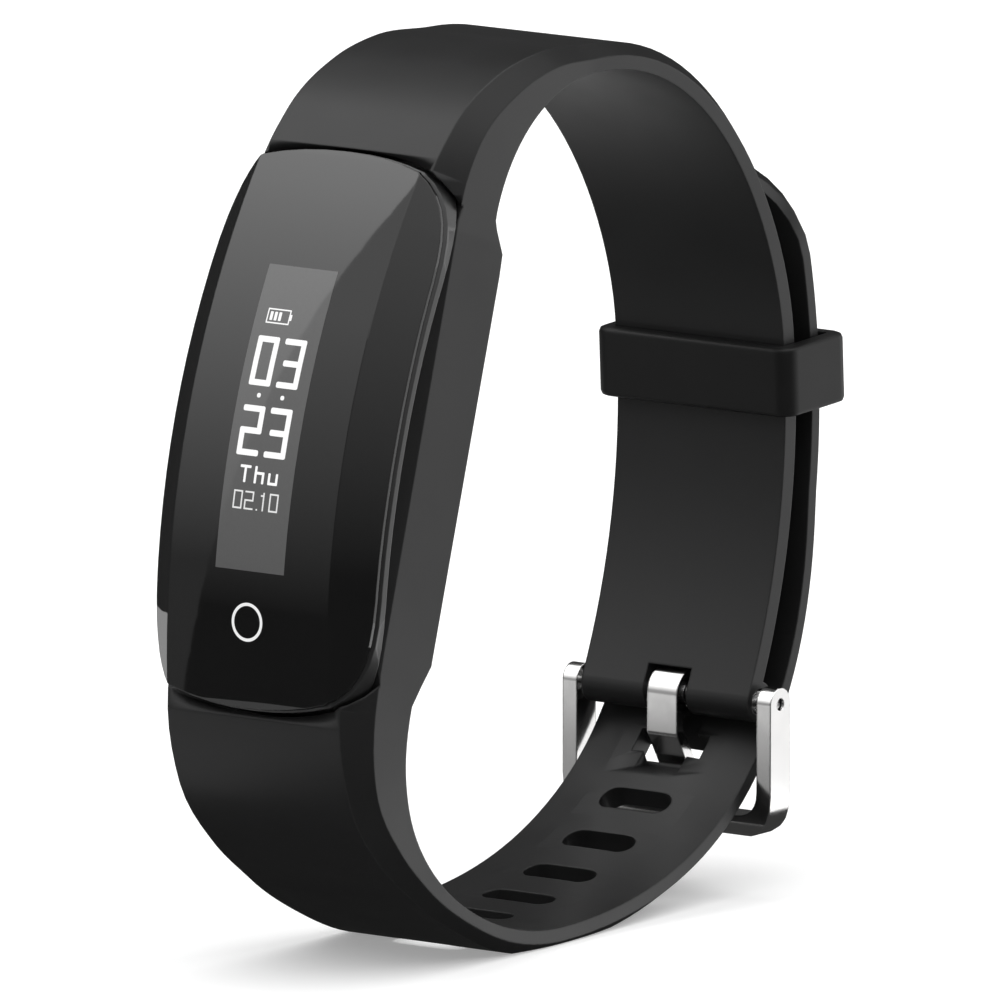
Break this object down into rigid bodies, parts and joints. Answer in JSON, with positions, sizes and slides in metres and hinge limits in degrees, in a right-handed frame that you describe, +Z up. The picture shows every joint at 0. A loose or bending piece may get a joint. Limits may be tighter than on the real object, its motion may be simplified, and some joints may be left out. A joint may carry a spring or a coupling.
{
  "type": "fitness tracker band",
  "caption": "Fitness band with a curved-cover tracker pod in a rubber strap pocket, closed by a steel tongue buckle and a sliding keeper.",
  "frame": {"origin": "middle of the band's bounding box in X and Y, on the ground under the strap", "axes": "+X from the pod towards the buckle, +Y across the strap (along the buckle's spring bar), +Z up with the band standing on its lower bend and the pod's screen upright"},
  "size_m": [0.0564, 0.0178, 0.0592],
  "materials": {
    "strap_rubber": "soft satin elastomer",
    "keeper_rubber": "soft satin elastomer",
    "polished_steel": "polished",
    "bar_steel": "turned",
    "cover_glass": "clear hard coat over black print",
    "case_plastic": "fine satin",
    "black_foam": "foam",
    "gasket_rubber": "moulded",
    "sensor_lens": "smoked clear",
    "gold_plate": "gold plated",
    "board_green": "solder mask",
    "ceramic_white": "ceramic",
    "diode_black": "resin",
    "battery_foil": "laminated foil",
    "chip_black": "moulded epoxy",
    "display_glass": "polished glass",
    "flex_amber": "polyimide film"
  },
  "bodies": {
    "strap": {"strap": "strap_rubber", "spring_bar_tube": "bar_steel", "spring_bar_spring": "bar_steel"},
    "pod": {"cover_glass": "cover_glass", "cover_adhesive": "black_foam", "pod_case": "case_plastic", "case_gasket": "gasket_rubber", "back_cover": "case_plastic", "sensor_lens": "sensor_lens", "charging_contact_upper": "gold_plate", "charging_contact_lower": "gold_plate", "sensor_board": "board_green", "green_led_upper": "ceramic_white", "green_led_lower": "ceramic_white", "photodiode": "diode_black", "battery_cell": "battery_foil", "battery_pad": "black_foam", "vibration_motor": "bar_steel", "main_board": "board_green", "processor_chip": "chip_black", "motion_sensor_chip": "chip_black", "memory_chip": "chip_black", "antenna_chip": "ceramic_white", "display_panel": "display_glass", "display_frame": "case_plastic", "display_flex": "flex_amber", "touch_electrode": "gold_plate"},
    "keeper": {"keeper": "keeper_rubber"},
    "buckle_frame": {"buckle_frame": "polished_steel"},
    "buckle_tongue": {"buckle_tongue": "polished_steel"},
    "spring_bar_pin_near": {"spring_bar_pin_near": "bar_steel"},
    "spring_bar_pin_far": {"spring_bar_pin_far": "bar_steel"}
  },
  "joints": [
    {"name": "pod_release", "type": "slide", "parent": "strap", "child": "pod", "axis": [-0.9558, 0, 0.294], "range_m": [0, 0.014]},
    {"name": "keeper_slide", "type": "hinge", "parent": "strap", "child": "keeper", "pos_m": [-0.02169, 0, 0.03174], "axis": [0, -1, 0], "range_deg": [-6.5, 4.5]},
    {"name": "buckle_swing", "type": "hinge", "parent": "strap", "child": "buckle_frame", "pos_m": [0.01948, 0, 0.01272], "axis": [0, -1, 0], "range_deg": [-2, 3.5]},
    {"name": "tongue_lift", "type": "hinge", "parent": "buckle_frame", "child": "buckle_tongue", "pos_m": [0.01948, 0, 0.01272], "axis": [0, -1, 0], "range_deg": [0, 2.5]},
    {"name": "near_pin_press", "type": "slide", "parent": "strap", "child": "spring_bar_pin_near", "axis": [0, 1, 0], "range_m": [0, 0.00095], "stiffness_N_per_m": 300, "springref_m": -0.001},
    {"name": "far_pin_press", "type": "slide", "parent": "strap", "child": "spring_bar_pin_far", "axis": [0, -1, 0], "range_m": [0, 0.00095], "stiffness_N_per_m": 300, "springref_m": -0.001}
  ]
}
